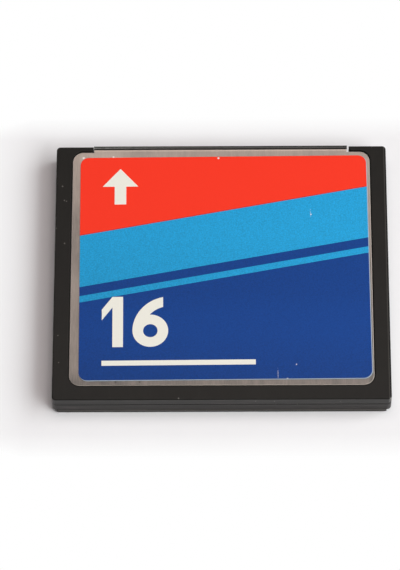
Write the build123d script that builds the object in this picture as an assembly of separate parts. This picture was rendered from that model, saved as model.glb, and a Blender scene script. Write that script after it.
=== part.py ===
from build123d import *
from math import atan, degrees
import os

os.makedirs("parts", exist_ok=True)

# All sizes are in millimetres. X runs across the card, Y towards the connector end and Z up to the label.
# The origin lies under the middle of the card, in the plane that the finger lip rests on.

# Card outline
card_width = 42.8
card_length = 36.4
body_thickness = 3.3
corner_radius = 0.5
top_edge_bevel = 0.1
bottom_edge_bevel = 0.22

# Finger lip under the label end
lip_end_inset = 0.57
lip_width = 0.76
lip_drop = 0.35
lip_band_height = 0.7
lip_proud = 0.07
lip_end_chamfer = 0.35
lip_end_rise = 0.2

# Edge frame, moulded in two halves
seam_depth = 1.5
seam_bevel = 0.07
rail_width = 2.0
near_bar_width = 1.91
window_corner_radius = 1.5
opening_corner_radius = 0.3
top_ledge_width = 0.85
bottom_ledge_width = 1.2
tongue_width = 0.35
tongue_height = 0.3
tongue_clearance = 0.05

# Hooked arms beside the connector nose
arm_reach = 4.8
arm_thickness = 0.65
arm_tip_bevel = 0.25
arm_ledge_width = 0.35
arm_setback = 0.05

# Guide slots in the two sides, of unlike heights so that the card goes in one way up
slot_length = 25.78
slot_depth = 1.01
left_slot_height = 0.99
right_slot_height = 1.6

# Stainless cover plates
plate_thickness = 0.15
plate_gap = 0.12
top_plate_recess = 0.14
bottom_plate_recess = 0.1
tab_gap = 0.03

# Label and its print
label_side_margin = 0.7
label_end_margin = 0.72
label_thickness = 0.08
label_corner_radius = 1.15
label_shift_x = 0.41
label_turn_angle = 0.37
print_margin = 0.05
print_shift_x = -0.04
print_shift_y = 0.04
ink_thickness = 0.03
overprint_thickness = 0.02
red_depth_left = 11.4
red_depth_right = 4.6
light_blue_depth = 7.4
pinstripe_gap = 1.3
pinstripe_depth = 0.9
number_height = 7.1
number_stroke = 1.35
number_spacing = 1.2
flag_drop = 1.8
flag_thickness = 1.5
bowl_radius = 2.27
stem_reach = 3.9
number_inset_x = 2.9
number_inset_y = 4.7
arrow_length = 5.2
arrow_width = 4.6
arrow_head_length = 2.6
arrow_shaft_width = 1.5
arrow_inset_x = 5.2
arrow_inset_y = 1.7
bar_length = 19.5
bar_height = 0.7
bar_inset_y = 2.1

# Circuit board, clamped between the frame halves
board_thickness = 0.4
board_shelf = 0.7
board_clearance = 0.1

# Connector housing with two rows of sockets
nose_depth = 0.4
nose_gap_left = 0.05
nose_gap_right = 0.25
housing_depth = 4.9
housing_clearance = 0.1
plate_clearance = 0.02
finger_length = 2.4
finger_width = 1.1
finger_height = 1.7
finger_slot_depth = 0.8
socket_pitch = 1.27
socket_end_wall = 0.4
row_spacing = 1.27
socket_size = 0.62
lead_in_size = 0.9
lead_in_depth = 0.25

# Socket contacts, one spring beam and one soldered tail each
contact_width = 0.36
contact_thickness = 0.12
contact_tip_setback = 0.9
contact_bow = 0.12
contact_bow_start = 0.57
contact_bow_length = 1.7
tail_bend_length = 0.35
tail_drop_length = 0.5
tail_foot_length = 0.6

# Chip packages
lead_pitch = 0.5
lead_width = 0.22
lead_thickness = 0.12
lead_span = 1.0
lead_foot = 0.5
chip_standoff = 0.05
chip_height = 0.98
chip_draft_angle = 9
flash_width = 12
flash_length = 18.4
flash_lead_count = 24
flash_side_gap = 2.6
flash_near_gap = 0.9
controller_size = 10
controller_lead_count = 16
controller_side_gap = 1.5
controller_near_gap = 2.0
marker_radius = 0.5
marker_depth = 0.05
marker_inset = 1.5

# Small parts on the board
chip_part_length = 1.6
chip_part_width = 0.8
terminal_length = 0.35
capacitor_height = 0.8
resistor_height = 0.45
capacitor_count = 6
capacitor_spacing = 2.5
resistor_count = 5
resistor_spacing = 2.6
row_gap = 0.6
crystal_length = 5.0
crystal_width = 3.2
crystal_height = 0.9
crystal_edge_bevel = 0.2

# Insulating films inside the cover plates
film_thickness = 0.05
film_inset = 0.8

# Two places closer than this count as one
same_place = 0.001

# Levels
underside_z = lip_drop
top_z = underside_z + body_thickness
middle_z = underside_z + body_thickness / 2
seam_z = top_z - seam_depth
top_plate_top = top_z - top_plate_recess
top_plate_bottom = top_plate_top - plate_thickness
bottom_plate_bottom = underside_z + bottom_plate_recess
bottom_plate_top = bottom_plate_bottom + plate_thickness
label_top = top_plate_top + label_thickness
ink_top = label_top + ink_thickness
board_bottom = middle_z - board_thickness / 2
board_top = middle_z + board_thickness / 2

# Places across and along the card
side_x = card_width / 2
lip_length = card_width - 2 * lip_end_inset
near_y = -card_length / 2 + lip_proud
nose_front_y = card_length / 2
nose_back_y = nose_front_y - nose_depth
arm_front_y = nose_front_y - arm_setback
arm_back_y = arm_front_y - arm_thickness
window_x = side_x - rail_width
window_near_y = near_y + near_bar_width
mouth_x = side_x - arm_reach
nose_left_x = nose_gap_left - mouth_x
nose_right_x = mouth_x - nose_gap_right
socket_count = int((nose_right_x - nose_left_x - 2 * socket_end_wall) / socket_pitch)
bottom_opening_x = window_x - bottom_ledge_width
board_x = bottom_opening_x + board_shelf
board_near_y = window_near_y + bottom_ledge_width - board_shelf
housing_x = bottom_opening_x - housing_clearance
housing_back_y = nose_front_y - housing_depth
finger_back_y = housing_back_y - finger_length
board_far_y = housing_back_y - board_clearance
board_shoulder_y = finger_back_y - board_clearance
board_neck_x = housing_x - finger_width + finger_slot_depth - board_clearance
plate_x = window_x - plate_gap
plate_near_y = window_near_y + plate_gap
plate_far_y = arm_back_y - plate_gap
label_width = 2 * (plate_x - label_side_margin)
label_length = plate_far_y - plate_near_y - 2 * label_end_margin
label_x = label_shift_x
label_y = (plate_near_y + plate_far_y) / 2
tail_foot_y = housing_back_y - tail_bend_length - tail_drop_length - tail_foot_length
flash_x = board_x - flash_side_gap - flash_width / 2
flash_y = board_near_y + flash_near_gap + lead_span + flash_length / 2
controller_x = controller_side_gap + lead_span + controller_size / 2 - board_x
controller_y = board_near_y + controller_near_gap + lead_span + controller_size / 2
capacitor_row_y = controller_y - controller_size / 2 - lead_span - row_gap - chip_part_width / 2
crystal_y = controller_y + controller_size / 2 + lead_span + row_gap + crystal_width / 2
resistor_row_y = finger_back_y - row_gap - chip_part_width / 2


def slab(x_low, x_high, y_low, y_high, z_low, z_high):
    """A block between the given planes."""
    size = (x_high - x_low, y_high - y_low, z_high - z_low)
    return Pos(x_low, y_low, z_low) * Box(*size, align=Align.MIN)


def plate_area(half_width, y_low, y_high, radius):
    """A rectangle with round corners, centred across the card."""
    middle = Pos(0, (y_low + y_high) / 2)
    return middle * RectangleRounded(2 * half_width, y_high - y_low, radius)


def raised(area, z_low, z_high):
    """A flat area carried from one level to another."""
    return extrude(Pos(0, 0, z_low) * area, amount=z_high - z_low)


def frame_opening(ledge, arm_ledge, z_low, z_high):
    """One level of the room inside the edge frame, with the mouth between the two hooked arms."""
    radius = max(window_corner_radius - ledge, opening_corner_radius)
    room = plate_area(window_x - ledge, window_near_y + ledge, arm_back_y - arm_ledge, radius)
    mouth_start = arm_back_y - 2 * window_corner_radius
    mouth = Pos(0, (mouth_start + card_length) / 2) * Rectangle(2 * mouth_x, card_length - mouth_start)
    outside = Pos(0, (arm_front_y + card_length) / 2) * Rectangle(2 * side_x, card_length - arm_front_y)
    area = room + mouth + outside
    tips = [corner for corner in area.vertices() if abs(abs(corner.X) - mouth_x) < same_place]
    inner_tips = ShapeList(tips).group_by(Axis.Y)[0]
    return raised(chamfer(inner_tips, arm_tip_bevel), z_low, z_high)


def frame_blank(z_low, z_high):
    """A frame half before it is opened: the card's outline between two levels."""
    return raised(plate_area(side_x, near_y, arm_front_y, corner_radius), z_low, z_high)


def lowest_edges(part):
    """The edges round a part's underside."""
    return part.edges().group_by(Axis.Z)[0]


def highest_edges(part):
    """The edges round a part's top."""
    return part.edges().group_by(Axis.Z)[-1]


def guide_slots():
    """The two side slots, open at the connector end."""
    slot_back_y = arm_front_y - slot_length
    left = slab(-2 * side_x, slot_depth - side_x, slot_back_y, card_length,
                middle_z - left_slot_height / 2, middle_z + left_slot_height / 2)
    right = slab(side_x - slot_depth, 2 * side_x, slot_back_y, card_length,
                 middle_z - right_slot_height / 2, middle_z + right_slot_height / 2)
    return [left, right]


def board_pocket(z_low, z_high):
    """The room that the circuit board takes in the frame, with its running clearance."""
    return slab(-board_x - board_clearance, board_x + board_clearance, board_near_y - board_clearance,
                board_shoulder_y + board_clearance, z_low, z_high)


def joint_tongue(clearance):
    """The welding tongue that runs round the rails and the near bar on the seam."""
    line_x = (side_x - slot_depth + board_x + board_clearance) / 2
    line_near_y = (near_y + board_near_y - board_clearance) / 2
    half = tongue_width / 2 + clearance
    far_y = arm_back_y - window_corner_radius + clearance
    top = seam_z + tongue_height + clearance
    outer = slab(-line_x - half, line_x + half, line_near_y - half, far_y, seam_z, top)
    inner = slab(half - line_x, line_x - half, line_near_y + half, far_y, seam_z, top)
    return outer - inner


def top_frame():
    """The upper frame half, down to the seam."""
    blank = frame_blank(seam_z, top_z)
    blank = chamfer(highest_edges(blank), top_edge_bevel)
    half = chamfer(lowest_edges(blank), seam_bevel)
    half -= frame_opening(0, 0, top_plate_bottom, 2 * top_z)
    half -= frame_opening(top_ledge_width, arm_ledge_width, 0, top_z)
    half -= board_pocket(0, board_top + board_clearance)
    return half - joint_tongue(tongue_clearance) - guide_slots()


def finger_lip():
    """The grip bar along the near edge, drawn in section and carried across the card."""
    bevel = lip_proud
    front_y = near_y - lip_proud
    back_y = front_y + lip_width
    section = Polygon(
        (front_y + bevel, 0),
        (back_y, 0),
        (back_y + lip_drop, underside_z),
        (back_y + lip_drop, underside_z + lip_drop),
        (near_y + lip_drop, lip_band_height),
        (near_y, lip_band_height),
        (front_y, lip_band_height - bevel),
        (front_y, bevel),
        align=None,
    )
    bar = extrude(Plane.YZ.offset(-lip_length / 2) * section, amount=lip_length)
    ends = [edge for edge in bar.edges().filter_by(Axis.Y) if edge.center().Z < same_place]
    return chamfer(ends, lip_end_chamfer, lip_end_rise)


def bottom_frame():
    """The lower frame half, with the finger lip, the board shelf and the welding tongue."""
    blank = frame_blank(underside_z, seam_z)
    blank = chamfer(lowest_edges(blank), bottom_edge_bevel)
    half = chamfer(highest_edges(blank), seam_bevel)
    half -= frame_opening(0, 0, 0, bottom_plate_top)
    half -= frame_opening(bottom_ledge_width, arm_ledge_width, 0, top_z)
    return half - board_pocket(board_bottom, top_z) + joint_tongue(0) - guide_slots() + finger_lip()


def cover_plate(z_low, z_high):
    """A stamped sheet with a tab between the arms, lying on the ledges of the frame."""
    sheet = plate_area(plate_x, plate_near_y, plate_far_y, window_corner_radius - plate_gap)
    tab_far_y = nose_back_y - tab_gap
    tab_near_y = arm_back_y - window_corner_radius
    tab_middle = Pos((nose_left_x + nose_right_x) / 2, (tab_near_y + tab_far_y) / 2)
    tab = tab_middle * Rectangle(nose_right_x - nose_left_x, tab_far_y - tab_near_y)
    return raised(sheet + tab, z_low, z_high)


def on_label(area, z_low, z_high):
    """An area in the label's own frame, carried to the label's place on the card."""
    place = Pos(label_x, label_y) * Rot(0, 0, label_turn_angle)
    return raised(place * area, z_low, z_high)


def label_sheet():
    """The white sheet stuck to the top cover plate."""
    area = RectangleRounded(label_width, label_length, label_corner_radius)
    return on_label(area, top_plate_top, label_top)


def slanted_band(start, end):
    """The part of the printed area between two depths below its far edge, both on the same slant."""
    half_x = label_width / 2
    far = label_length / 2
    fall = red_depth_left - red_depth_right
    band = Polygon(
        (-half_x, far - start),
        (-half_x, far - end),
        (half_x, far - end + fall),
        (half_x, far - start + fall),
        align=None,
    )
    printed = RectangleRounded(label_width - 2 * print_margin, label_length - 2 * print_margin,
                               label_corner_radius - print_margin)
    return (Pos(print_shift_x, print_shift_y) * printed) & band


def ink_field(*bands):
    """One colour of print over one or more slanted bands, each band a solid of its own."""
    fields = [on_label(slanted_band(start, end), label_top, ink_top) for start, end in bands]
    return Compound(children=[solid for field in fields for solid in field.solids()])


def print_red_field():
    """The red field over the far part of the label."""
    return ink_field((-label_length, red_depth_left))


def print_light_blue_field():
    """The light blue field and the pinstripe below it."""
    field_end = red_depth_left + light_blue_depth
    stripe_start = field_end + pinstripe_gap
    return ink_field((red_depth_left, field_end), (stripe_start, stripe_start + pinstripe_depth))


def print_dark_blue_field():
    """The dark blue ground, above and below the pinstripe."""
    field_end = red_depth_left + light_blue_depth
    stripe_start = field_end + pinstripe_gap
    return ink_field((field_end, stripe_start), (stripe_start + pinstripe_depth, 2 * label_length))


def digit_one():
    """The figure one: a stem and a slanted flag, from its lower left corner."""
    stem_x = number_stroke
    return Polygon(
        (stem_x, 0),
        (stem_x + number_stroke, 0),
        (stem_x + number_stroke, number_height),
        (stem_x, number_height),
        (0, number_height - flag_drop),
        (0, number_height - flag_drop - flag_thickness),
        (stem_x, number_height - flag_thickness),
        align=None,
    )


def digit_six():
    """The figure six: a round bowl and a curved stem, from its lower left corner."""
    bowl = Pos(bowl_radius, bowl_radius) * (Circle(bowl_radius) - Circle(bowl_radius - number_stroke))
    outer_radius = number_height - bowl_radius
    arc_middle = Pos(outer_radius, bowl_radius)
    sweep = arc_middle * (Circle(outer_radius) - Circle(outer_radius - number_stroke))
    stem_box = Pos(0, bowl_radius) * Rectangle(stem_reach, number_height, align=Align.MIN)
    return bowl + (sweep & stem_box)


def print_number():
    """A plain figure in the near left part of the label."""
    first_x = number_inset_x - label_width / 2
    second_x = first_x + 2 * number_stroke + number_spacing
    base_y = number_inset_y - label_length / 2
    figures = [Pos(first_x, base_y) * digit_one(), Pos(second_x, base_y) * digit_six()]
    solids = [on_label(figure, ink_top, ink_top + overprint_thickness) for figure in figures]
    return Compound(children=[solid for part in solids for solid in part.solids()])


def print_arrow():
    """A plain arrow that points to the end that goes in first."""
    tip_x = arrow_inset_x - label_width / 2
    tip_y = label_length / 2 - arrow_inset_y
    shoulder_y = tip_y - arrow_head_length
    shaft_x = arrow_shaft_width / 2
    arrow = Polygon(
        (tip_x, tip_y),
        (tip_x - arrow_width / 2, shoulder_y),
        (tip_x - shaft_x, shoulder_y),
        (tip_x - shaft_x, tip_y - arrow_length),
        (tip_x + shaft_x, tip_y - arrow_length),
        (tip_x + shaft_x, shoulder_y),
        (tip_x + arrow_width / 2, shoulder_y),
        align=None,
    )
    return on_label(arrow, ink_top, ink_top + overprint_thickness)


def print_bar():
    """A plain rule below the figure."""
    start_x = number_inset_x - label_width / 2
    base_y = bar_inset_y - label_length / 2
    area = Pos(start_x, base_y) * Rectangle(bar_length, bar_height, align=Align.MIN)
    return on_label(area, ink_top, ink_top + overprint_thickness)


def circuit_board():
    """The board: full width on the frame's shelf, and a neck that enters the connector's fingers."""
    body = slab(-board_x, board_x, board_near_y, board_shoulder_y, board_bottom, board_top)
    neck = slab(-board_neck_x, board_neck_x, board_shoulder_y, board_far_y, board_bottom, board_top)
    return body + neck


def socket_locations():
    """The places of the sockets of both rows, on the front face of the nose."""
    front = Plane.XZ.offset(-nose_front_y).location * Pos(0, middle_z)
    return [front * spot for spot in GridLocations(socket_pitch, row_spacing, socket_count, 2)]


def socket_tool():
    """One square socket with its funnel, cut from the front face inwards."""
    funnel_angle = degrees(atan((lead_in_size - socket_size) / 2 / lead_in_depth))
    passage = extrude(Rectangle(socket_size, socket_size), amount=2 * housing_depth)
    funnel = extrude(Rectangle(lead_in_size, lead_in_size), amount=lead_in_depth, taper=funnel_angle)
    return passage + funnel


def connector_housing():
    """The moulded socket block: nose between the arms, ears behind them and slotted board fingers."""
    low = bottom_plate_top + plate_clearance
    high = top_plate_bottom - plate_clearance
    ear_front_y = arm_back_y - arm_ledge_width - housing_clearance
    body = slab(-housing_x, housing_x, housing_back_y, ear_front_y, low, high)
    throat = slab(nose_left_x, nose_right_x, housing_back_y, nose_back_y, low, high)
    nose = slab(nose_left_x, nose_right_x, nose_back_y, nose_front_y, underside_z, top_z)
    finger = slab(housing_x - finger_width, housing_x, finger_back_y, housing_back_y,
                  middle_z - finger_height / 2, middle_z + finger_height / 2)
    finger_slot = slab(0, board_neck_x + board_clearance, finger_back_y - finger_length, housing_back_y,
                       board_bottom - plate_clearance, board_top + plate_clearance)
    right_finger = finger - finger_slot
    block = body + throat + nose + right_finger + mirror(right_finger, about=Plane.YZ)
    tool = socket_tool()
    return block - [spot * tool for spot in socket_locations()]


def socket_contact():
    """One contact of the upper row, in section along the card and centred across its socket."""
    wall = middle_z + row_spacing / 2 + socket_size / 2
    under = wall - contact_thickness
    tip_y = nose_front_y - contact_tip_setback
    bow_y = tip_y - contact_bow_start
    root_y = tip_y - contact_bow_length
    bend_y = housing_back_y - tail_bend_length
    drop_y = bend_y - tail_drop_length
    mitre = contact_thickness / 4
    section = Polygon(
        (tip_y, wall),
        (bow_y, wall - contact_bow),
        (root_y, wall),
        (bend_y, wall),
        (drop_y, board_top + contact_thickness),
        (tail_foot_y, board_top + contact_thickness),
        (tail_foot_y, board_top),
        (drop_y - mitre, board_top),
        (bend_y - mitre, under),
        (root_y, under),
        (bow_y, under - contact_bow),
        (tip_y, under),
        align=None,
    )
    return extrude(Plane.YZ.offset(-contact_width / 2) * section, amount=contact_width)


def connector_contacts_upper():
    """The upper row of contacts, their tails on the top of the board."""
    contact = socket_contact()
    return Compound(children=[spot * contact for spot in GridLocations(socket_pitch, 1, socket_count, 1)])


def connector_contacts_lower():
    """The lower row of contacts, the mirror image of the upper row below the board."""
    return mirror(connector_contacts_upper(), about=Plane.XY.offset(middle_z))


def chip_body(width, length):
    """A moulded package, drafted up and down from its parting line, standing on the board's top."""
    parting_z = board_top + chip_standoff + chip_height / 2
    outline = Pos(0, 0, parting_z) * Rectangle(width, length)
    upper = extrude(outline, amount=chip_height / 2, taper=chip_draft_angle)
    lower = extrude(outline, amount=-chip_height / 2, taper=chip_draft_angle)
    top = parting_z + chip_height / 2
    mark_place = Pos(marker_inset - width / 2, length / 2 - marker_inset)
    mark = raised(mark_place * RegularPolygon(marker_radius, 8), top - marker_depth, top + chip_height)
    return upper + lower - mark


def chip_lead():
    """One gull-wing lead that leaves a package's side at its parting line, pointing along X."""
    top = chip_standoff + chip_height / 2 + lead_thickness / 2
    knee = lead_span - lead_foot
    shoulder = knee / 2
    mitre = lead_thickness / 2
    section = Polygon(
        (0, top),
        (shoulder, top),
        (knee, lead_thickness),
        (lead_span, lead_thickness),
        (lead_span, 0),
        (knee - mitre, 0),
        (shoulder - mitre, top - lead_thickness),
        (0, top - lead_thickness),
        align=None,
    )
    return Pos(0, 0, board_top) * extrude(Plane.XZ.offset(-lead_width / 2) * section, amount=lead_width)


def lead_rows(count, reach, turns):
    """Rows of leads at a reach from a package's middle, one row for each turn given."""
    lead = chip_lead()
    spots = [Pos(reach, spot.position.Y) for spot in GridLocations(1, lead_pitch, 1, count)]
    return [Rot(0, 0, turn) * spot * lead for turn in turns for spot in spots]


def flash_upper_body():
    """The memory chip on the top of the board."""
    return Pos(flash_x, flash_y) * chip_body(flash_width, flash_length)


def flash_upper_leads():
    """The leads at both short ends of the upper memory chip."""
    place = Pos(flash_x, flash_y)
    rows = lead_rows(flash_lead_count, flash_length / 2, (90, 270))
    return Compound(children=[place * lead for lead in rows])


def flash_lower_body():
    """The memory chip under the board, below the upper one."""
    return mirror(flash_upper_body(), about=Plane.XY.offset(middle_z))


def flash_lower_leads():
    """The leads of the lower memory chip."""
    return mirror(flash_upper_leads(), about=Plane.XY.offset(middle_z))


def controller_body():
    """The square controller chip beside the upper memory chip."""
    return Pos(controller_x, controller_y) * chip_body(controller_size, controller_size)


def controller_leads():
    """The leads on all four sides of the controller."""
    place = Pos(controller_x, controller_y)
    rows = lead_rows(controller_lead_count, controller_size / 2, (0, 90, 180, 270))
    return Compound(children=[place * lead for lead in rows])


def capacitor_spots():
    """The places of the capacitors, in a row along the near edge of the board."""
    row = Pos(controller_x, capacitor_row_y)
    return [row * spot for spot in GridLocations(capacitor_spacing, 1, capacitor_count, 1)]


def resistor_spots():
    """The places of the resistors, in a row beside the connector's tails."""
    row = Pos(controller_x, resistor_row_y)
    return [row * spot for spot in GridLocations(resistor_spacing, 1, resistor_count, 1)]


def chip_part_cores(spots, height):
    """The bodies of small two-ended parts, between their terminals."""
    half = chip_part_length / 2 - terminal_length
    core = slab(-half, half, -chip_part_width / 2, chip_part_width / 2, board_top, board_top + height)
    return Compound(children=[spot * core for spot in spots])


def chip_part_ends(spots, height):
    """The soldered terminals at both ends of small parts."""
    start = chip_part_length / 2 - terminal_length
    half_width = chip_part_width / 2
    end = slab(start, chip_part_length / 2, -half_width, half_width, board_top, board_top + height)
    pair = [end, mirror(end, about=Plane.YZ)]
    return Compound(children=[spot * terminal for spot in spots for terminal in pair])


def crystal():
    """The clock crystal's can, beside the controller."""
    half_x = crystal_length / 2
    half_y = crystal_width / 2
    can = slab(controller_x - half_x, controller_x + half_x, crystal_y - half_y, crystal_y + half_y,
               board_top, board_top + crystal_height)
    return chamfer(can.edges().filter_by(Axis.Z) + highest_edges(can), crystal_edge_bevel)


def insulating_film(z_low, z_high):
    """A film over the chips, stuck to the inner face of a cover plate."""
    film_x = bottom_opening_x - film_inset
    film_near_y = window_near_y + bottom_ledge_width + film_inset
    return slab(-film_x, film_x, film_near_y, housing_back_y - film_inset, z_low, z_high)


nodes = {
    "top_frame": top_frame(),
    "bottom_frame": bottom_frame(),
    "top_cover_plate": cover_plate(top_plate_bottom, top_plate_top),
    "bottom_cover_plate": cover_plate(bottom_plate_bottom, bottom_plate_top),
    "label_sheet": label_sheet(),
    "print_red_field": print_red_field(),
    "print_light_blue_field": print_light_blue_field(),
    "print_dark_blue_field": print_dark_blue_field(),
    "print_number": print_number(),
    "print_arrow": print_arrow(),
    "print_bar": print_bar(),
    "circuit_board": circuit_board(),
    "connector_housing": connector_housing(),
    "connector_contacts_upper": connector_contacts_upper(),
    "connector_contacts_lower": connector_contacts_lower(),
    "controller_body": controller_body(),
    "controller_leads": controller_leads(),
    "flash_upper_body": flash_upper_body(),
    "flash_upper_leads": flash_upper_leads(),
    "flash_lower_body": flash_lower_body(),
    "flash_lower_leads": flash_lower_leads(),
    "capacitors": chip_part_cores(capacitor_spots(), capacitor_height),
    "capacitor_terminals": chip_part_ends(capacitor_spots(), capacitor_height),
    "resistors": chip_part_cores(resistor_spots(), resistor_height),
    "resistor_terminals": chip_part_ends(resistor_spots(), resistor_height),
    "crystal": crystal(),
    "insulating_film_upper": insulating_film(top_plate_bottom - film_thickness, top_plate_bottom),
    "insulating_film_lower": insulating_film(bottom_plate_top, bottom_plate_top + film_thickness),
}

for name, shape in nodes.items():
    shape.label = name
    export_step(shape, "parts/" + name + ".step")
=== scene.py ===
from math import cos, radians, sin

import bpy
from mathutils import Matrix, Vector


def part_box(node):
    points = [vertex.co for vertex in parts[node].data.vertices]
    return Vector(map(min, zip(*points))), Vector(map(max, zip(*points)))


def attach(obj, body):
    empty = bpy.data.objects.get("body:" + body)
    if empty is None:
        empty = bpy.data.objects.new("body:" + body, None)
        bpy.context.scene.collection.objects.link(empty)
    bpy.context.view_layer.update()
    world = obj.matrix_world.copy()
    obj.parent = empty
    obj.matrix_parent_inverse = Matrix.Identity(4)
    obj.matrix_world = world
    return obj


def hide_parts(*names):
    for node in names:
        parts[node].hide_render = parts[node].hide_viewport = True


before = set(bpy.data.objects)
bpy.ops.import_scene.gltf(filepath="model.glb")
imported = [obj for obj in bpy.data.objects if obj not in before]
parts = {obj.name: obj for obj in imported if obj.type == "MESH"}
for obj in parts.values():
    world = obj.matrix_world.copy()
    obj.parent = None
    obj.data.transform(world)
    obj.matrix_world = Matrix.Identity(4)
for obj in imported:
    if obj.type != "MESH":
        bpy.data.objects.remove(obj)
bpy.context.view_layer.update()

# Lengths are in metres, in the card's own frame: X across, Y towards the connector, Z up.
# The places of wear and tone are in millimetres, which the finishes work in.
mm = 0.001
white = (1.0, 1.0, 1.0, 1.0)


def extent(part_name):
    """The lowest and highest corners of a part, in millimetres."""
    low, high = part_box(part_name)
    return Vector(low) / mm, Vector(high) / mm


# The edges and levels of the card that its wear and its painted highlights and shade are placed by. The
# flakes lie in the label's cut edge.
frame_low, frame_high = extent("top_frame")
lip_low = extent("bottom_frame")[0]
plate_low, plate_high = extent("top_cover_plate")
card_side = frame_high.x
card_end = extent("connector_housing")[1].y
frame_top = frame_high.z
sheet_top = plate_high.z
label_top = extent("print_red_field")[1].z
cut_edge = label_top - 0.05

# Wear, marks and patches at single places, and a painted highlight on the frame's near right corner:
# x, y, z and radius.
frame_nicks_and_corner_highlight = (
    (-20.56, 12.35, frame_top, 0.12),
    (-20.27, 10.29, frame_top, 0.11),
    (-20.0, 10.15, frame_top, 0.09),
    (-20.15, 4.04, frame_top, 0.11),
    (-21.22, 6.22, frame_top, 0.09),
    (-20.75, -9.1, frame_top, 0.1),
    (-20.6, -12.9, frame_top, 0.09),
    (-5.43, -17.95, frame_top, 0.12),
    (4.26, -18.15, 3.1, 0.11),
    (6.65, -18.15, 3.08, 0.11),
    (6.78, -18.15, 2.18, 0.1),
    (9.55, -18.15, 2.16, 0.11),
    (14.95, -18.15, 3.0, 0.11),
    # The last four spots are a painted highlight down the rounded near right corner.
    (21.32, -18.05, 3.62, 0.2),
    (21.34, -18.05, 3.45, 0.26),
    (21.3, -18.05, 3.2, 0.24),
    (21.25, -18.1, 2.8, 0.2),
)
edge_flakes = (
    (-17.88, 16.58, cut_edge, 0.21),
    (-14.0, 16.7, cut_edge, 0.2),
)
label_chips = edge_flakes + (
    (-0.35, 16.42, label_top, 0.18),
    (8.3, -15.33, label_top, 0.2),
    (9.46, -13.27, label_top, 0.1),
    (11.57, 8.12, label_top, 0.1),
)
label_scratches = (
    (7.11, -14.5, label_top, 0.07),
    (11.5, 8.3, label_top, 0.05),
)
sheet_dull_patches = ((-19.2, 4.8, sheet_top, 5.5),)
sheet_bright_patches = ((-16.0, 17.6, sheet_top, 5.0),)
sheet_stains = (
    (-13.38, -15.6, sheet_top, 0.2),
    (-10.35, -15.6, sheet_top, 0.18),
)

# A painted highlight along the frame's right edge, from one place to another, and a painted dark line of
# shade outside it.
painted_highlight_edge = (card_side - 0.35, card_side - 0.18)
painted_highlight_top = (frame_top - 0.15, frame_top - 0.05)
painted_shade_edge = (card_side - 0.2, card_side - 0.14)
painted_shade_top = (frame_top - 0.35, frame_top - 0.25)

# Scuffs and painted lightening on the near face, and a painted highlight along the top of the lip under it:
# how deep they go, and between which heights.
mark_depth = 0.08
near_face = frame_low.y + mark_depth
lip_face = lip_low.y + mark_depth
painted_lift_fade = (1.5, 2.4)
lip_top_highlight = (0.42, 0.72)

# The painted highlight along the connector's nose, and where it weakens to the right.
nose_highlight = (plate_high.y + 0.01, plate_high.y + 0.18)
nose_highlight_end = (-14.0, -4.0)

# The sheet's tone from edge to edge: a painted reflection rising from near end to far end, a painted
# highlight at the far edge, a lighter near end, and painted shade beside the right edge and on the rim's
# near end.
painted_rim_rise = (plate_low.y + 0.4, plate_low.y + 2.6)
painted_sheet_rise = (plate_low.y + 2.6, plate_high.y - 0.77)
near_end_glow = (plate_low.y + 0.4, plate_low.y + 1.6)
near_end_reach = (-12.0, 15.0)
painted_far_highlight = (plate_high.y - 0.31, plate_high.y - 0.21)
painted_side_shade = (plate_high.x - 0.88, plate_high.x - 0.48)
painted_side_shade_end = (0.0, 13.0)
painted_rim_shade = (plate_low.y + 0.1, plate_low.y + 1.6)

# How the inks' tone goes over the label: across it, and along it from one place to another with its rise.
ink_across = (-16.0, 16.0)
even_rise = ((-14.0, 14.0, 0.6),)
light_blue_rise = ((-4.0, 5.0, 0.5),)
dark_blue_rises = (
    (-15.5, -9.0, 0.6),
    (-6.0, -3.0, -0.3),
)

# The thin dark rim of a slanted print, above its lower edge, and how close to its right side that edge ends.
dark_rim = (0.05, 0.16)
right_end_reach = 0.3 * mm

# Where the floor's paper turns to plain white, beside the card and beyond its ends.
white_beside = (card_side + 3.6, card_side + 14.6)
white_beyond = (card_end + 3.0, card_end + 6.3)

# How sharp edges are rounded off.
moulded_rounding = 0.04 * mm
nose_rounding = 0.03 * mm
rolled_rounding = 0.1 * mm
die_cut_rounding = 0.025 * mm
weld_distance = 0.002 * mm
flat_angle = radians(1)
sharp_angle = radians(28)

# The camera, fitted to the card's corners in the photograph of 400 by 570 pixels.
picture_height = 570
focal_pixels = 3591
sensor_height = 36
camera_elevation = radians(63.37)
camera_roll = radians(1.29)
camera_yaw = radians(-1.2)
camera_distance = 462.4 * mm
camera_shift_right = 2.78 * mm
camera_shift_up = 0.28 * mm
body_underside = 0.35 * mm

# The room.
screen_gamma = 2.2
floor_size = 4.0
fill_strength = 0.06


def shade(red, green, blue):
    """A colour given as it looks on screen, out of 255, as the shader wants it."""
    return tuple((level / 255) ** screen_gamma for level in (red, green, blue)) + (1.0,)


def toned(colour, factor):
    """A colour made darker, or lighter as far as white."""
    return tuple(min(channel * factor, 1.0) for channel in colour[:3]) + (1.0,)


class Value:
    """A socket of one finish, for use in plain arithmetic."""

    def __init__(self, finish, socket):
        self.finish = finish
        self.socket = socket

    def maths(self, operation, *values):
        """One operation on sockets and numbers."""
        inputs = dict(enumerate(values))
        return self.finish.node("ShaderNodeMath", {"operation": operation}, inputs)

    def __add__(self, other):
        return self.maths("ADD", self, other)

    def __sub__(self, other):
        return self.maths("SUBTRACT", self, other)

    def __rsub__(self, other):
        return self.maths("SUBTRACT", other, self)

    def __mul__(self, other):
        return self.maths("MULTIPLY", self, other)

    def __lt__(self, other):
        return self.maths("LESS_THAN", self, other)

    def __abs__(self):
        return self.maths("ABSOLUTE", self)

    __radd__ = __add__
    __rmul__ = __mul__


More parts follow.
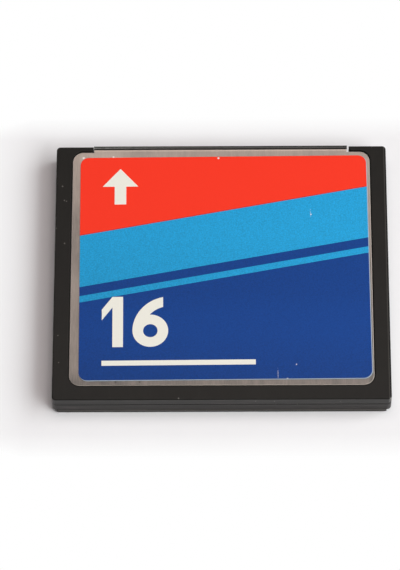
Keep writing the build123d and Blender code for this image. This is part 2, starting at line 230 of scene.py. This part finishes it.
class Finish:
    """A node material under construction, with its own shader."""

    def __init__(self, name):
        self.material = bpy.data.materials.new(name)
        self.material.use_nodes = True
        self.tree = self.material.node_tree
        self.shader = self.tree.nodes["Principled BSDF"]
        self.place = self.node("ShaderNodeTexCoord", output="Object")

    def node(self, kind, settings=None, inputs=None, output=0):
        """Adds a node, with its settings first and then the values or links of its sockets."""
        node = self.tree.nodes.new(kind)
        for key, setting in (settings or {}).items():
            setattr(node, key, setting)
        for key, value in (inputs or {}).items():
            self.feed(node.inputs[key], value)
        return Value(self, node.outputs[output])

    def feed(self, socket, value):
        """Links a socket or sets its value."""
        if isinstance(value, Value):
            self.tree.links.new(value.socket, socket)
        else:
            socket.default_value = value

    def set(self, **sockets):
        """Feeds the shader's sockets, named with underscores for spaces."""
        for name, value in sockets.items():
            self.feed(self.shader.inputs[name.replace("_", " ")], value)

    def axis(self, name):
        """One coordinate of the place on the object, in millimetres."""
        return self.node("ShaderNodeSeparateXYZ", inputs={0: self.place}, output=name) * (1 / mm)

    def stretched(self, stretch=(1, 1, 1)):
        """The place on the object in millimetres, with each axis multiplied."""
        scale = tuple(factor / mm for factor in stretch)
        return self.node("ShaderNodeVectorMath", {"operation": "MULTIPLY"}, {0: self.place, 1: scale})

    def band(self, value, low, high):
        """A value carried from 0 at one level to 1 at another, and held outside them."""
        inputs = {"Value": value, "From Min": low, "From Max": high}
        return self.node("ShaderNodeMapRange", {"clamp": True}, inputs)

    def between(self, value, low, high, soft=0.05):
        """1 between two levels of a value and 0 outside them, with soft ends."""
        return self.band(value, low, low + soft) * (1 - self.band(value, high - soft, high))

    def mix(self, factor, first, second):
        """One colour or the other, or between them."""
        inputs = {0: factor, 6: first, 7: second}
        return self.node("ShaderNodeMix", {"data_type": "RGBA"}, inputs, output=2)

    def noise(self, per_mm, detail=3.0, roughness=0.55, stretch=(1, 1, 1), seed=0.0):
        """Soft noise with so many features to a millimetre, optionally drawn out along an axis."""
        inputs = {
            "Vector": self.stretched(stretch),
            "W": seed,
            "Scale": per_mm,
            "Detail": detail,
            "Roughness": roughness,
        }
        return self.node("ShaderNodeTexNoise", {"noise_dimensions": "4D"}, inputs)

    def specks(self, per_mm, size, share, seed=0.0):
        """Small round spots: cells of which only a share holds a spot of a size given in cells."""
        inputs = {"Vector": self.stretched(), "W": seed, "Scale": per_mm}
        settings = {"voronoi_dimensions": "4D"}
        distance = self.node("ShaderNodeTexVoronoi", settings, inputs, output="Distance")
        colour = self.node("ShaderNodeTexVoronoi", settings, inputs, output="Color")
        pick = self.node("ShaderNodeSeparateColor", inputs={0: colour}, output="Red")
        return (1 - self.band(distance, size * 0.6, size)) * (pick < share)

    def spots(self, places, stretch=(1, 1, 1)):
        """Single ragged spots, each given by its x, y and z and its radius in millimetres."""
        place = self.stretched(stretch)
        ragged = (self.noise(per_mm=9.0, detail=2.0, seed=9.0) - 0.5) * 0.16
        total = 0.0
        for x, y, z, radius in places:
            middle = tuple(axis * factor for axis, factor in zip((x, y, z), stretch))
            ends = {0: place, 1: middle}
            apart = self.node("ShaderNodeVectorMath", {"operation": "DISTANCE"}, ends, output="Value")
            total = (1 - self.band(apart + ragged, radius * 0.5, radius)) + total
        return total

    def bump(self, height, distance):
        """Fine relief, with its height given in millimetres."""
        inputs = {"Height": height, "Distance": distance * mm, "Strength": 1.0}
        self.set(Normal=self.node("ShaderNodeBump", inputs=inputs))

    def seen_rays(self):
        """1 or more for rays from the camera, off gloss or through glass, and 0 for the others."""
        kinds = ("Is Camera Ray", "Is Glossy Ray", "Is Transmission Ray")
        camera, glossy, passed = (self.node("ShaderNodeLightPath", output=kind) for kind in kinds)
        return camera + glossy + passed

    def glow_through(self, share):
        """Lets plain white take the place of the shader, as far as the share goes."""
        glow = self.node("ShaderNodeEmission")
        own = Value(self, self.shader.outputs[0])
        blend = self.node("ShaderNodeMixShader", inputs={0: self.band(share, 0.0, 1.0), 1: own, 2: glow})
        self.feed(self.tree.nodes["Material Output"].inputs["Surface"], blend)


def scuffed_with_painted_lift(finish, body):
    """A body colour with scuffs along the near face, and painted lightening low down on it, against the
    shade there.
    """
    scuffs = finish.noise(per_mm=1.3, detail=4.0, stretch=(0.15, 1.0, 3.0), seed=8.0)
    # Painted lightening low on the near face, against the shade that falls there.
    painted_lift = 1 - finish.band(finish.axis("Z"), *painted_lift_fade)
    scuffs_and_lift = finish.band(scuffs, 0.54, 0.74) * 0.12 + painted_lift * 0.025
    return finish.mix((finish.axis("Y") < near_face) * scuffs_and_lift, body, shade(150, 132, 135))


def with_painted_dark_line(finish, body):
    """A body colour with a painted dark line of shade outside the painted highlight on the frame's right
    edge.
    """
    line = finish.band(finish.axis("X"), *painted_shade_edge) * finish.band(finish.axis("Z"), *painted_shade_top)
    return finish.mix(line * 0.9, body, shade(6, 5, 5))


def painted_edge_highlights(finish):
    """Painted highlights along the frame's right edge and the top of its finger lip."""
    height = finish.axis("Z")
    frame_highlight = finish.between(finish.axis("X"), *painted_highlight_edge) * finish.band(height, *painted_highlight_top)
    lip_highlight = finish.between(height, *lip_top_highlight) * (finish.axis("Y") < lip_face)
    uneven = finish.noise(per_mm=0.8, detail=3.0, seed=7.0) * 0.8 + 0.4
    return (frame_highlight * 0.14 + lip_highlight * 0.22) * uneven


def moulded_plastic(name, colour):
    """Black moulded plastic with a satin grain, rub marks, scuffs, nicks, pale dust, and painted highlights
    and shade.
    """
    finish = Finish(name)
    cloud = finish.noise(per_mm=0.35, detail=2.0)
    grain = finish.noise(per_mm=9.0, detail=2.0, seed=3.0)
    rubbed = finish.noise(per_mm=1.6, detail=4.0, stretch=(1.0, 0.3, 1.0), seed=5.0)
    pale = finish.band(cloud, 0.3, 0.75) * 0.35 + finish.band(rubbed, 0.5, 0.85) * 0.4
    body = finish.mix(pale, colour, toned(colour, 1.9))
    body = with_painted_dark_line(finish, scuffed_with_painted_lift(finish, body))
    # Nicks, pale dust and a painted highlight on the near right corner.
    dust = finish.spots(frame_nicks_and_corner_highlight) * 0.45 + finish.specks(per_mm=0.9, size=0.055, share=0.05) * 0.5
    # Painted highlights on the right edge and the lip's top, laid on with the dust and nicks.
    finish.set(Base_Color=finish.mix(painted_edge_highlights(finish) + dust, body, shade(150, 146, 140)))
    finish.set(Roughness=finish.band(grain, 0.2, 0.8) * 0.1 + 0.34, IOR=1.34)
    finish.bump(grain, 0.003)
    return finish.material


def nose_plastic(name):
    """The connector's dull moulding, with a painted highlight along the middle of its nose, strongest at the
    left.
    """
    finish = Finish(name)
    grain = finish.noise(per_mm=7.0, detail=2.0)
    line = finish.between(finish.axis("Y") - 0.2 * grain, *nose_highlight)
    left = 1 - finish.band(finish.axis("X"), *nose_highlight_end)
    body = finish.mix(grain, shade(34, 33, 33), shade(48, 47, 45))
    finish.set(Base_Color=finish.mix(line * (left * 0.5 + 0.3), body, shade(128, 130, 124)))
    finish.set(Roughness=0.42, IOR=1.42)
    finish.bump(grain, 0.003)
    return finish.material


def brushed_tone(finish, streak):
    """How light the sheet is: brushing, clouds and patches, with painted reflection, highlight and shade
    over it.
    """
    broad = finish.noise(per_mm=1.6, detail=2.0, stretch=(1.0, 0.15, 1.0), seed=2.0)
    cloud = finish.noise(per_mm=0.3, detail=3.0, seed=4.0)
    across = finish.axis("X")
    along = finish.axis("Y")
    pattern = finish.band(streak, 0.3, 0.7) * 0.17 + finish.band(broad, 0.3, 0.7) * 0.09 + cloud * 0.2
    # A painted reflection, rising from the near end to the far end.
    rise = finish.band(along, *painted_rim_rise) * 0.12 + finish.band(along, *painted_sheet_rise) * 0.27
    near_end = (1 - finish.band(along, *near_end_glow)) * finish.band(across, *near_end_reach) * 0.06
    # A painted highlight along the far edge.
    far_highlight = finish.band(along, *painted_far_highlight) * 0.3
    patches = finish.spots(sheet_bright_patches) * 0.12 - finish.spots(sheet_dull_patches) * 0.13
    # Painted shade beside the right edge.
    side_shade = finish.band(across, *painted_side_shade) * (1 - finish.band(along, *painted_side_shade_end)) * 0.13
    return pattern + rise + near_end + far_highlight + patches - side_shade + 0.05


def brushed_steel(name):
    """Stainless sheet, brushed along the card, with stains, and flakes of paper at the label's far edge."""
    finish = Finish(name)
    streak = finish.noise(per_mm=14.0, detail=3.0, stretch=(1.0, 0.05, 1.0))
    metal = finish.mix(brushed_tone(finish, streak), shade(60, 69, 72), shade(222, 208, 195))
    stained = finish.mix(finish.spots(sheet_stains) * 0.5, metal, shade(60, 56, 52))
    flakes = finish.spots(edge_flakes)
    finish.set(Base_Color=finish.mix(flakes, stained, shade(240, 232, 228)), Metallic=1 - flakes)
    finish.set(Roughness=finish.band(streak, 0.2, 0.8) * 0.08 + 0.44)
    finish.bump(streak, 0.0008)
    return finish.material


def blanked_edge(name):
    """The bright rolled-over rim of the stainless sheet, left by its stamping, with painted shade at the
    near end.
    """
    finish = Finish(name)
    grain = finish.noise(per_mm=3.0, detail=2.0)
    # Painted shade darkens the rim towards the near end.
    away = finish.band(finish.axis("Y"), *painted_rim_shade) * 0.7 + grain * 0.3
    finish.set(Base_Color=finish.mix(away, shade(168, 160, 150), shade(242, 234, 226)))
    finish.set(Metallic=1.0, Roughness=0.6)
    return finish.material


def dark_rimmed(finish, body, start, end):
    """An ink with a thin dark rim above the slanted line from one place to another."""
    slope = (end.y - start.y) / (end.x - start.x)
    above = finish.axis("Y") - start.y - (finish.axis("X") - start.x) * slope
    return finish.mix((1 - finish.band(above, *dark_rim)) * 0.6, body, shade(110, 30, 50))


def printed_ink(name, colour, speckle, drift, rises=even_rise, edge=None):
    """Satin print with the mottle of the screen, a few pale specks and a slow drift of its tone.

    The speckle and the drift are how far each carries the colour, as shares of it. The tone drifts upwards
    to the right, and along the card between the places of its rises.
    """
    finish = Finish(name)
    mottle = finish.noise(per_mm=6.0, detail=3.0, roughness=0.7)
    tide = finish.band(finish.axis("X"), *ink_across) * 0.4
    for low, high, rise in rises:
        tide = finish.band(finish.axis("Y"), low, high) * rise + tide
    share = speckle / (speckle + drift)
    tone = finish.band(mottle, 0.25, 0.75) * share + tide * (1 - share)
    body = finish.mix(tone, toned(colour, 1 - speckle - drift), toned(colour, 1 + speckle + drift))
    if edge:
        body = dark_rimmed(finish, body, *edge)
    dust = finish.specks(per_mm=0.7, size=0.05, share=0.02, seed=2.0) * 0.8 + finish.spots(label_chips)
    scratch = finish.spots(label_scratches, stretch=(1.0, 0.1, 1.0)) * 0.35
    finish.set(Base_Color=finish.mix(scratch + dust, body, shade(235, 232, 228)))
    finish.set(Roughness=0.35, IOR=1.27)
    finish.bump(mottle, 0.0012)
    return finish.material


def plain_metal(name, colour, roughness):
    """Plated or drawn metal with a faint grain."""
    finish = Finish(name)
    grain = finish.noise(per_mm=6.0, detail=2.0)
    finish.set(Base_Color=finish.mix(grain, toned(colour, 0.8), colour), Metallic=1.0)
    finish.set(Roughness=grain * 0.15 + roughness)
    return finish.material


def plain_solid(name, colour, roughness):
    """A fired, moulded or coated surface with a fine grain."""
    finish = Finish(name)
    grain = finish.noise(per_mm=5.0, detail=3.0)
    finish.set(Base_Color=finish.mix(grain, toned(colour, 0.75), colour))
    finish.set(Roughness=grain * 0.2 + roughness)
    finish.bump(grain, 0.003)
    return finish.material


def floor_paper(name):
    """Plain pale paper, which the camera sees turn to plain white away from the card."""
    finish = Finish(name)
    grain = finish.noise(per_mm=0.2, detail=2.0)
    finish.set(Base_Color=finish.mix(grain, shade(244, 244, 245), shade(247, 247, 248)))
    finish.set(Roughness=0.8)
    beside = finish.band(abs(finish.axis("X")), *white_beside)
    beyond = finish.band(abs(finish.axis("Y")), *white_beyond)
    finish.glow_through((beside + beyond) * finish.seen_rays())
    return finish.material


def dress(finish, *names):
    """Gives a finish to parts that keep their own shape."""
    for name in names:
        for slot in parts[name].material_slots:
            slot.material = finish


def lower_edge(part_name):
    """The two ends of the slanted lower edge of a field of print, in millimetres."""
    corners = [vertex.co for vertex in parts[part_name].data.vertices]
    right_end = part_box(part_name)[1][0] - right_end_reach
    start = min(corners, key=lambda corner: corner.y)
    end = min((corner for corner in corners if corner.x > right_end), key=lambda corner: corner.y)
    return start / mm, end / mm


def softened(part_name, piece_name, slot_name, finish, width, segments=2, edge_finish=None):
    """A copy of a part with its sharp edges rounded, as moulding, stamping or die cutting leaves them."""
    bpy.ops.object.select_all(action="DESELECT")
    piece = bpy.data.objects.new(piece_name, parts[part_name].data.copy())
    bpy.context.collection.objects.link(piece)
    piece.select_set(True)
    bpy.context.view_layer.objects.active = piece
    bpy.ops.object.mode_set(mode="EDIT")
    bpy.ops.mesh.select_all(action="SELECT")
    bpy.ops.mesh.remove_doubles(threshold=weld_distance)
    bpy.ops.mesh.dissolve_limited(angle_limit=flat_angle)
    bpy.ops.object.mode_set(mode="OBJECT")
    bpy.ops.object.shade_smooth_by_angle(angle=sharp_angle)
    rounding = piece.modifiers.new("rounding", "BEVEL")
    rounding.width = width
    rounding.segments = segments
    rounding.limit_method = "ANGLE"
    rounding.angle_limit = sharp_angle
    rounding.use_clamp_overlap = True
    rounding.harden_normals = True
    piece.data.materials.clear()
    piece.data.materials.append(finish)
    if edge_finish:
        piece.data.materials.append(edge_finish)
        rounding.material = 1
    bpy.ops.object.modifier_apply(modifier=rounding.name)
    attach(piece, "root")
    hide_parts(part_name)


def finish_frame():
    """The two halves of the frame, moulded in one black plastic."""
    plastic = moulded_plastic("frame_plastic", shade(27, 26, 23))
    softened("top_frame", "upper_frame_half", "black_plastic", plastic, moulded_rounding)
    softened("bottom_frame", "lower_frame_half", "black_plastic", plastic, moulded_rounding)


def finish_connector():
    """The socket housing, which shows its nose between the frame's arms."""
    plastic = nose_plastic("connector_plastic")
    softened("connector_housing", "socket_housing", "connector_plastic", plastic, nose_rounding)


def finish_covers():
    """The two stamped cover plates, each with a rolled rim."""
    steel = brushed_steel("cover_steel")
    rolled = {"width": rolled_rounding, "segments": 3, "edge_finish": blanked_edge("cover_rim")}
    softened("top_cover_plate", "brushed_top_cover", "stainless_sheet", steel, **rolled)
    softened("bottom_cover_plate", "brushed_bottom_cover", "stainless_sheet", steel, **rolled)


def finish_label():
    """The label's paper, die cut, and the print on it."""
    paper = plain_solid("label_stock", shade(172, 190, 206), roughness=0.4)
    softened("label_sheet", "glued_label", "label_stock", paper, die_cut_rounding)
    red_edge = lower_edge("print_red_field")
    red = printed_ink("red_print", shade(255, 58, 37), speckle=0.03, drift=0.02, edge=red_edge)
    light_blue = printed_ink("light_blue_print", shade(36, 155, 209),
                             speckle=0.3, drift=0.12, rises=light_blue_rise)
    dark_blue = printed_ink("dark_blue_print", shade(17, 64, 134),
                            speckle=0.27, drift=0.14, rises=dark_blue_rises)
    cream = printed_ink("cream_print", shade(240, 238, 226), speckle=0.02, drift=0.01)
    dress(red, "print_red_field")
    dress(light_blue, "print_light_blue_field")
    dress(dark_blue, "print_dark_blue_field")
    dress(cream, "print_number", "print_arrow", "print_bar")


def finish_inside():
    """The circuit board, what stands on it, and the insulating films over and under it."""
    board = plain_solid("solder_mask", shade(24, 92, 50), roughness=0.3)
    gold = plain_metal("gold_flash", shade(226, 186, 110), roughness=0.25)
    resin = plain_solid("chip_resin", shade(40, 40, 42), roughness=0.5)
    tin = plain_metal("tinned_copper", shade(200, 200, 196), roughness=0.3)
    capacitor = plain_solid("capacitor_ceramic", shade(176, 140, 100), roughness=0.45)
    resistor = plain_solid("resistor_ceramic", shade(38, 38, 42), roughness=0.3)
    can = plain_metal("crystal_steel", shade(196, 194, 190), roughness=0.25)
    film = plain_solid("amber_film", shade(190, 130, 40), roughness=0.2)
    dress(board, "circuit_board")
    dress(gold, "connector_contacts_upper", "connector_contacts_lower")
    dress(resin, "controller_body", "flash_upper_body", "flash_lower_body")
    dress(tin, "controller_leads", "flash_upper_leads", "flash_lower_leads")
    dress(tin, "capacitor_terminals", "resistor_terminals")
    dress(capacitor, "capacitors")
    dress(resistor, "resistors")
    dress(can, "crystal")
    dress(film, "insulating_film_upper", "insulating_film_lower")


def make_floor():
    """A wide flat floor under the card."""
    bpy.ops.object.select_all(action="DESELECT")
    bpy.ops.mesh.primitive_plane_add(size=floor_size, location=(0, 0, 0))
    floor = bpy.context.object
    floor.name = "floor"
    floor.data.materials.append(floor_paper("floor_paper"))


def add_light(name, place, width, depth, power, colour=white[:3]):
    """A soft rectangular lamp that faces the card."""
    lamp = bpy.data.lights.new(name, "AREA")
    lamp.shape = "RECTANGLE"
    lamp.size = width
    lamp.size_y = depth
    lamp.energy = power
    lamp.color = colour
    light = bpy.data.objects.new(name, lamp)
    light.location = place
    light.rotation_euler = (-Vector(place)).to_track_quat("-Z", "Y").to_euler()
    bpy.context.collection.objects.link(light)


def light_room():
    """A large soft window on the right, softer lamps above and in front, and a weak even fill."""
    world = bpy.data.worlds.new("studio")
    world.use_nodes = True
    background = world.node_tree.nodes["Background"]
    background.inputs["Color"].default_value = white
    background.inputs["Strength"].default_value = fill_strength
    bpy.context.scene.world = world
    add_light("window", (0.88, -0.15, 0.77), width=1.4, depth=0.8, power=13.0, colour=(0.955, 0.995, 1.0))
    add_light("ceiling", (0.06, 0.02, 1.0), width=0.9, depth=0.65, power=4.05, colour=(1.0, 0.89, 0.875))
    add_light("front", (0.65, -0.75, 0.95), width=0.55, depth=0.5, power=3.2)


def place_camera():
    """Stands the camera where the photograph was taken from."""
    right = Vector((1, 0, 0))
    up = Vector((0, sin(camera_elevation), cos(camera_elevation)))
    away = Vector((0, cos(camera_elevation), -sin(camera_elevation)))
    spot = -right * camera_shift_right - up * camera_shift_up - away * camera_distance
    image_right = right * cos(camera_roll) - up * sin(camera_roll)
    image_up = right * sin(camera_roll) + up * cos(camera_roll)
    turn = Matrix.Rotation(-camera_yaw, 4, "Z")
    axes = Matrix((image_right, image_up, -away)).transposed().to_4x4()
    camera = bpy.data.cameras.new("camera")
    camera.sensor_fit = "VERTICAL"
    camera.sensor_height = sensor_height
    camera.lens = focal_pixels * sensor_height / picture_height
    view = bpy.data.objects.new("camera", camera)
    lift = Matrix.Translation((0, 0, body_underside))
    view.matrix_world = lift @ turn @ Matrix.Translation(spot) @ axes
    bpy.context.collection.objects.link(view)
    bpy.context.scene.camera = view


finish_frame()
finish_connector()
finish_covers()
finish_label()
finish_inside()
make_floor()
light_room()
place_camera()
bpy.context.scene.view_settings.view_transform = "Standard"
